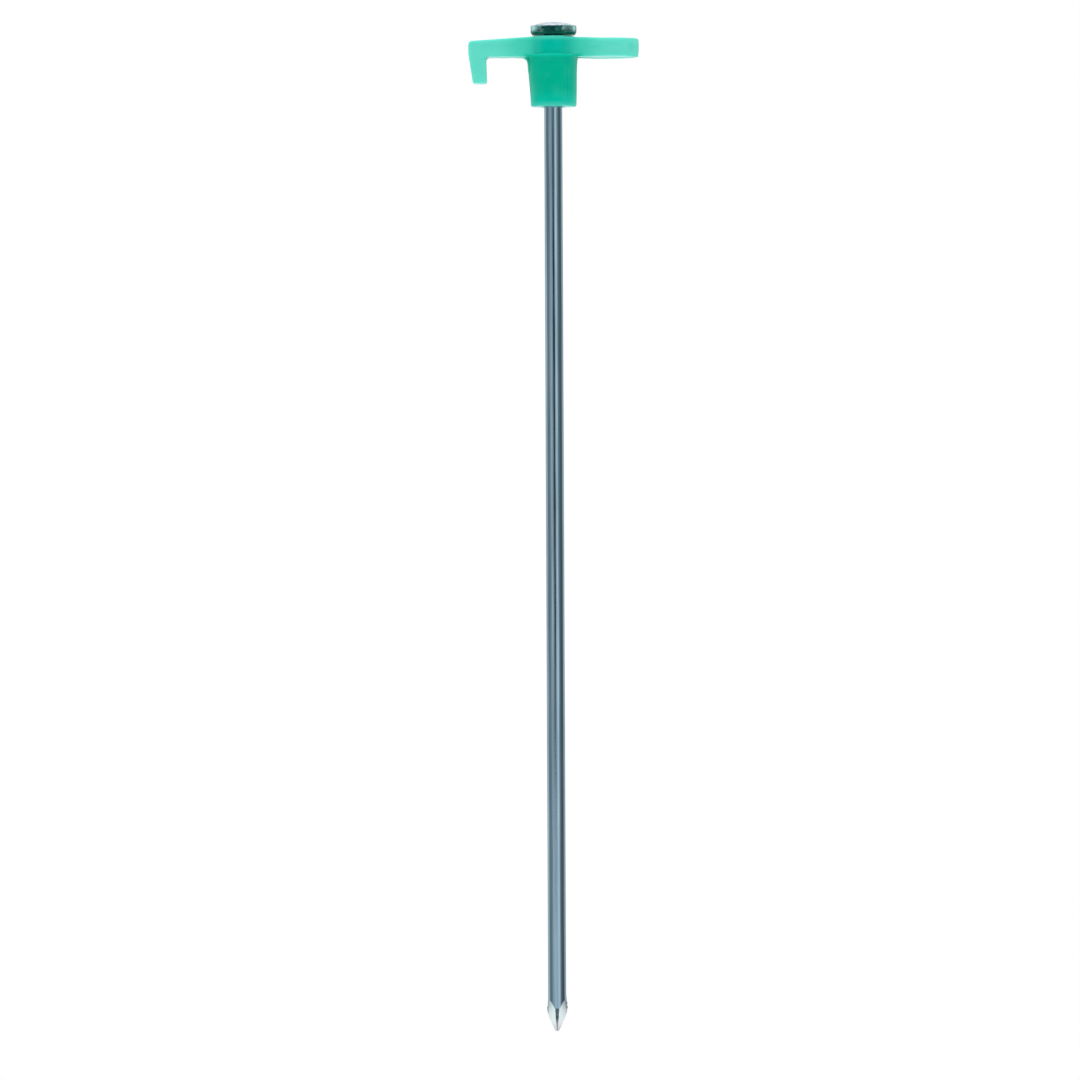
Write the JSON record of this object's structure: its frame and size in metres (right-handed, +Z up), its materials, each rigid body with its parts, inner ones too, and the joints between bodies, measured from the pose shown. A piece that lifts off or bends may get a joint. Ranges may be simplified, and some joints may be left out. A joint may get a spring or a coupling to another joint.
{
  "type": "tent stake",
  "caption": "Steel nail tent stake with a loose moulded plastic hook head: a guy line hook on one side and a thumb tab on the other, turning under the nail's head.",
  "frame": {"origin": "the nail's point, on the nail's axis, at the bottom of the part", "axes": "+Z up the nail to its head, +X towards the thumb tab, the hook towards -X"},
  "size_m": [0.0435, 0.013, 0.2574],
  "materials": {
    "steel": "bright drawn wire, bluish, with lengthwise drawing marks",
    "hook_plastic": "satin, slightly translucent mint green moulding"
  },
  "bodies": {
    "nail": {"steel_nail": "steel"},
    "hook": {"hook_head": "hook_plastic"}
  },
  "joints": [
    {"name": "hook_swivel", "type": "hinge", "parent": "nail", "child": "hook", "pos_m": [0, 0, 0.245], "axis": [0, 0, 1], "continuous": true}
  ]
}
